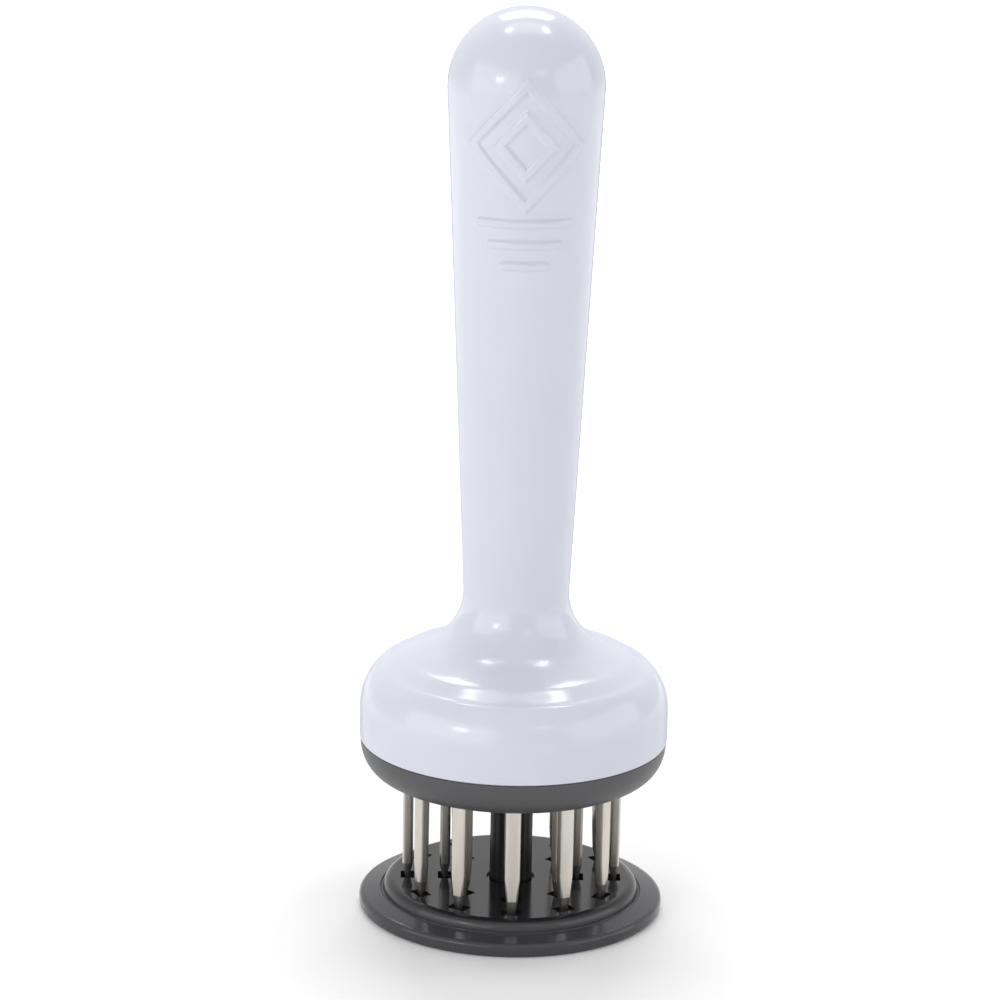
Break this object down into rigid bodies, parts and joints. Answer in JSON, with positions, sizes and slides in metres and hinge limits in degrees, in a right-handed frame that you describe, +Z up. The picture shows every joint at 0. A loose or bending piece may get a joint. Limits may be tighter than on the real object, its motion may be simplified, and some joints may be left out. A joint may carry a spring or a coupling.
{
  "type": "blade meat tenderizer",
  "caption": "Round-headed blade meat tenderizer: domed, tapered handle flaring to a bell, a ring of fixed flat blades and a sprung slotted guard disc that slides up to bare them.",
  "frame": {"origin": "centre of the guard disc's underside, on the surface it stands on", "axes": "+Z up along the handle, -Y the front that one outer blade faces, +X to the right seen from the front"},
  "size_m": [0.0652, 0.0652, 0.194],
  "materials": {
    "white_gloss": "gloss",
    "grey_satin": "satin",
    "black_gloss": "gloss",
    "post_dark": "gloss",
    "blade_steel": "brushed",
    "zinc_steel": "satin",
    "screw_steel": "satin",
    "spring_steel": "drawn",
    "inner_plastic": "moulded",
    "bush_plastic": "moulded",
    "seal_rubber": "matte"
  },
  "bodies": {
    "handle": {"handle_shell": "white_gloss", "blade_carrier": "grey_satin", "collar_seal": "seal_rubber", "blade_spacer": "inner_plastic", "clamp_plate": "zinc_steel", "carrier_screws": "screw_steel", "guide_bush": "bush_plastic", "return_spring": "spring_steel", "spring_seat": "zinc_steel", "outer_blade_01": "blade_steel", "outer_blade_02": "blade_steel", "outer_blade_03": "blade_steel", "outer_blade_04": "blade_steel", "outer_blade_05": "blade_steel", "outer_blade_06": "blade_steel", "outer_blade_07": "blade_steel", "outer_blade_08": "blade_steel", "outer_blade_09": "blade_steel", "outer_blade_10": "blade_steel", "outer_blade_11": "blade_steel", "outer_blade_12": "blade_steel", "inner_blade_01": "blade_steel", "inner_blade_02": "blade_steel", "inner_blade_03": "blade_steel", "inner_blade_04": "blade_steel", "inner_blade_05": "blade_steel", "inner_blade_06": "blade_steel", "inner_blade_07": "blade_steel", "inner_blade_08": "blade_steel"},
    "guard": {"guard_disc": "black_gloss", "guide_post": "post_dark", "post_screw": "screw_steel", "stop_washer": "zinc_steel", "stop_screw": "screw_steel"}
  },
  "joints": [
    {"name": "guard_slide", "type": "slide", "parent": "handle", "child": "guard", "axis": [0, 0, 1], "range_m": [0, 0.0238], "stiffness_N_per_m": 800, "springref_m": -0.01, "deforming": ["return_spring"]}
  ]
}
